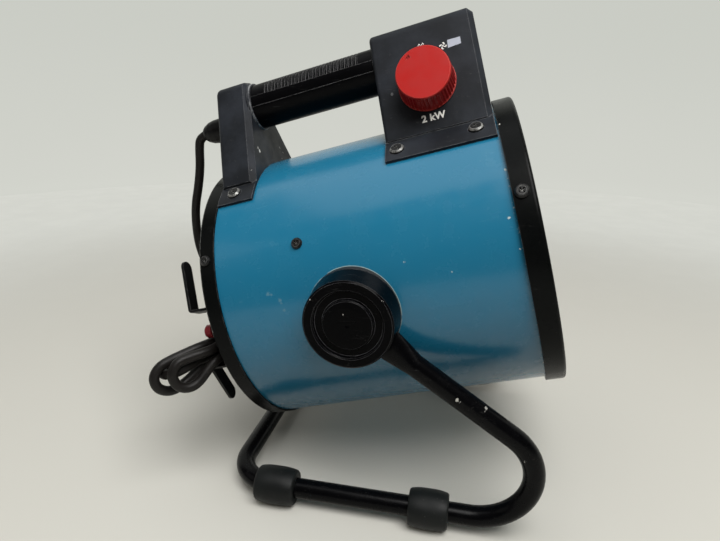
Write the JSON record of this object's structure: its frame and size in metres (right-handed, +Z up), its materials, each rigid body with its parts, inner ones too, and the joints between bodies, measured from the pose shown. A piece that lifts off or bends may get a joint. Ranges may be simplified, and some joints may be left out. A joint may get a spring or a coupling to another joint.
{
  "type": "forced air heater",
  "caption": "Portable electric fan heater: round drum with switch box, carrying handle and rear cord hooks, tilting in a bent tube stand on rubber sleeves.",
  "frame": {"origin": "centre of the footprint of the heater without its cord, on the floor", "axes": "+X the way the warm air blows, +Z up, +Y away from the side that carries the red switch knob"},
  "size_m": [0.3244, 0.255, 0.3632],
  "materials": {
    "black_tube": "gloss black enamel, small bright chips",
    "sleeve_rubber": "matt black rubber",
    "hub_plastic": "satin black moulding, concentric steps",
    "fibre": "fibre washer",
    "blue_paint": "gloss petrol blue powder coat",
    "black_ring": "satin black enamel, worn at the edge",
    "dark_screw": "blackened steel, worn recess",
    "worn_screw": "blackened screw worn bright on the rim",
    "zinc_screw": "zinc plated",
    "black_wire": "black enamelled wire",
    "black_guard": "black enamel on pressed steel",
    "galvanised": "galvanised sheet",
    "motor_steel": "dark painted motor case",
    "element_steel": "heat darkened sheath",
    "white_ceramic": "ceramic terminal block",
    "black_phenolic": "phenolic moulding",
    "box_plastic": "fine grained black plastic",
    "grip_plastic": "black plastic, ribbed on top",
    "switch_body": "black switch case",
    "gland_plastic": "black nylon",
    "cord_rubber": "black rubber sheath",
    "tie_fabric": "woven hook-and-loop strap",
    "plug_rubber": "moulded rubber plug with plated pins",
    "fan_metal": "pressed aluminium blades",
    "red_knob": "red plastic, ribbed side",
    "red_button": "red button"
  },
  "bodies": {
    "stand": {"stand_tube": "black_tube", "foot_sleeve_front_near": "sleeve_rubber", "foot_sleeve_front_far": "sleeve_rubber", "foot_sleeve_rear_near": "sleeve_rubber", "foot_sleeve_rear_far": "sleeve_rubber", "hub_cap_near": "hub_plastic", "hub_cap_far": "hub_plastic", "friction_washers": "fibre"},
    "drum": {"drum_shell": "blue_paint", "front_ring": "black_ring", "rear_ring": "black_ring", "front_ring_screws": "dark_screw", "rear_ring_screws": "dark_screw", "drum_side_screws": "dark_screw", "front_grille": "black_wire", "rear_guard": "black_guard", "inner_liner": "galvanised", "motor_bracket": "galvanised", "motor": "motor_steel", "heating_element_outer": "element_steel", "heating_element_inner": "element_steel", "element_frame": "galvanised", "terminal_block": "white_ceramic", "thermal_cutout": "black_phenolic", "pivot_saddles": "black_phenolic", "pivot_nut_plates": "galvanised", "pivot_bolts": "zinc_screw", "pivot_washers": "zinc_screw", "switch_box": "box_plastic", "switch_box_screws": "worn_screw", "rotary_switch": "switch_body", "thermostat": "switch_body", "grip_upper": "grip_plastic", "grip_lower": "grip_plastic", "handle_tube": "galvanised", "rear_post": "box_plastic", "rear_post_screws": "worn_screw", "cable_gland": "gland_plastic", "gland_locknut": "gland_plastic", "cord_hooks_upper": "black_guard", "cord_hooks_lower": "black_guard", "hook_rivets": "dark_screw", "cutout_holder": "black_phenolic", "mains_cord": "cord_rubber", "cord_hank": "cord_rubber", "plug_lead": "cord_rubber", "cord_tie": "tie_fabric", "mains_plug": "plug_rubber"},
    "fan": {"fan_rotor": "fan_metal", "fan_shaft": "zinc_screw"},
    "switch_knob_body": {"switch_knob": "red_knob", "switch_shaft": "zinc_screw"},
    "thermostat_knob_body": {"thermostat_knob": "red_knob", "thermostat_shaft": "zinc_screw"},
    "reset": {"reset_button": "red_button"}
  },
  "joints": [
    {"name": "drum_tilt", "type": "hinge", "parent": "stand", "child": "drum", "pos_m": [0.00075, 0, 0.164], "axis": [0, 1, 0], "range_deg": [-25, 15.8]},
    {"name": "fan_spin", "type": "hinge", "parent": "drum", "child": "fan", "pos_m": [-0.01003, 0, 0.16095], "axis": [0.9622, 0, 0.2723], "continuous": true},
    {"name": "switch_turn", "type": "hinge", "parent": "drum", "child": "switch_knob_body", "pos_m": [0.03496, -0.02969, 0.31157], "axis": [-0.1094, -0.9157, 0.3868], "range_deg": [0, 270]},
    {"name": "thermostat_turn", "type": "hinge", "parent": "drum", "child": "thermostat_knob_body", "pos_m": [0.03496, 0.02969, 0.31157], "axis": [-0.1094, 0.9157, 0.3868], "range_deg": [-150, 150]},
    {"name": "reset_press", "type": "slide", "parent": "drum", "child": "reset", "axis": [0.9622, 0, 0.2723], "range_m": [0, 0.002], "stiffness_N_per_m": 400, "springref_m": -0.002}
  ]
}
